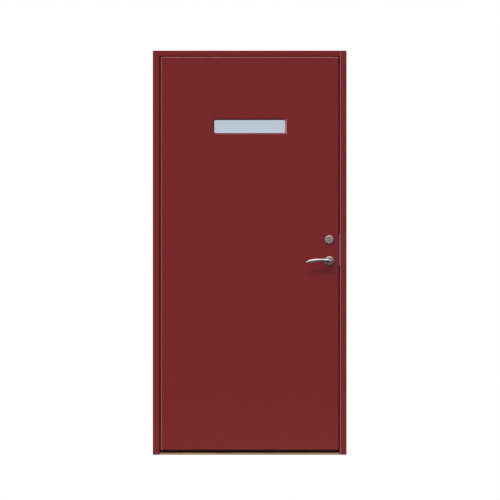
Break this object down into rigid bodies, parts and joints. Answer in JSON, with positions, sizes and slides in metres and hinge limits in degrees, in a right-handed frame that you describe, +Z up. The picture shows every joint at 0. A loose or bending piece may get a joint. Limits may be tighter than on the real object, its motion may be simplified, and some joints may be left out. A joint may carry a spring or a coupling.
{
  "type": "door with frame",
  "caption": "Flush steel-faced outside door with a narrow horizontal window, lever handle and key cylinder, hung on concealed hinges in a rebated timber frame with an oak sill.",
  "frame": {"origin": "on the floor, in the middle of the frame's width and depth", "axes": "+Z up, +X towards the lock side seen from outside, -Y to the outside, the way the leaf opens"},
  "size_m": [0.99, 0.1618, 2.065],
  "materials": {
    "red_timber": "satin red paint on timber",
    "oak": "oiled oak",
    "seal_rubber": "matt black rubber",
    "red_skin": "satin red powder coat",
    "pine": "planed pine",
    "mineral_wool": "mineral wool board",
    "glass": "clear float glass",
    "spacer_aluminium": "mill finish",
    "satin_steel": "satin stainless steel",
    "black_plastic": "black",
    "zinc_steel": "zinc-plated steel"
  },
  "bodies": {
    "frame": {"frame_head": "red_timber", "hinge_jamb": "red_timber", "lock_jamb": "red_timber", "sill": "oak", "frame_seal": "seal_rubber", "corner_screws": "zinc_steel", "strike_plate": "satin_steel", "strike_box": "black_plastic", "strike_screws": "zinc_steel", "hinge_frame_body_bottom": "zinc_steel", "hinge_frame_body_middle": "zinc_steel", "hinge_frame_body_top": "zinc_steel", "hinge_frame_screws": "zinc_steel"},
    "leaf": {"hinge_leaf_body_bottom": "zinc_steel", "hinge_leaf_body_middle": "zinc_steel", "hinge_leaf_body_top": "zinc_steel", "hinge_leaf_screws": "zinc_steel", "outer_skin": "red_skin", "inner_skin": "red_skin", "hinge_stile": "pine", "lock_stile": "pine", "top_rail": "pine", "bottom_rail": "pine", "core": "mineral_wool", "window_liner": "pine", "outer_pane": "glass", "inner_pane": "glass", "glass_spacer": "spacer_aluminium", "glazing_tapes": "seal_rubber", "setting_blocks": "seal_rubber", "window_bead": "red_skin", "window_bead_screws": "zinc_steel", "lock_case": "zinc_steel", "lock_cover": "zinc_steel", "lock_forend": "satin_steel", "forend_screws": "zinc_steel", "latch_spring": "zinc_steel", "outer_rose": "satin_steel", "inner_rose": "satin_steel", "rose_bolts": "zinc_steel", "cylinder_ring": "satin_steel", "cylinder_body": "satin_steel", "turn_rose": "satin_steel"},
    "frame_arms": {"frame_arm_bottom": "zinc_steel", "frame_arm_middle": "zinc_steel", "frame_arm_top": "zinc_steel"},
    "leaf_arms": {"leaf_arm_bottom": "zinc_steel", "leaf_arm_middle": "zinc_steel", "leaf_arm_top": "zinc_steel"},
    "levers": {"outer_lever": "satin_steel", "inner_lever": "satin_steel", "lever_grubs": "black_plastic", "spindle_bar": "zinc_steel", "follower": "zinc_steel"},
    "latch": {"latch_bolt": "satin_steel"},
    "turn": {"thumbturn": "satin_steel", "bolt_cam": "zinc_steel"},
    "bolt": {"deadbolt": "satin_steel"},
    "plug": {"key_plug": "satin_steel"}
  },
  "joints": [
    {"name": "leaf_swing", "type": "hinge", "parent": "frame", "child": "leaf", "pos_m": [-0.45725, -0.052, 1], "axis": [0, 0, -1], "range_deg": [0, 105]},
    {"name": "frame_arm_turn", "type": "hinge", "parent": "frame", "child": "frame_arms", "pos_m": [-0.46272, -0.03696, 1], "axis": [0, 0, -1], "range_deg": [0, 105]},
    {"name": "leaf_arm_turn", "type": "hinge", "parent": "leaf", "child": "leaf_arms", "pos_m": [-0.45178, -0.03696, 1], "axis": [0, 0, -1], "range_deg": [-105, 0]},
    {"name": "lever_turn", "type": "hinge", "parent": "leaf", "child": "levers", "pos_m": [0.407, -0.025, 0.991], "axis": [0, -1, 0], "range_deg": [0, 45], "stiffness_Nm_per_rad": 1.2, "springref_deg": -28.65},
    {"name": "latch_slide", "type": "slide", "parent": "leaf", "child": "latch", "axis": [1, 0, 0], "range_m": [0, 0.012]},
    {"name": "thumbturn_turn", "type": "hinge", "parent": "leaf", "child": "turn", "pos_m": [0.407, 0, 1.093], "axis": [0, -1, 0], "range_deg": [0, 90]},
    {"name": "deadbolt_slide", "type": "slide", "parent": "leaf", "child": "bolt", "axis": [1, 0, 0], "range_m": [0, 0.02]},
    {"name": "key_plug_turn", "type": "hinge", "parent": "leaf", "child": "plug", "pos_m": [0.407, -0.05, 1.093], "axis": [0, -1, 0], "range_deg": [0, 90]}
  ],
  "couplings": [
    {"joint": "frame_arm_turn", "follows": "leaf_swing", "ratio": 1},
    {"joint": "leaf_arm_turn", "follows": "leaf_swing", "ratio": -1},
    {"joint": "deadbolt_slide", "follows": "thumbturn_turn", "m_per_rad": 0.012732},
    {"joint": "key_plug_turn", "follows": "thumbturn_turn", "ratio": 1}
  ]
}
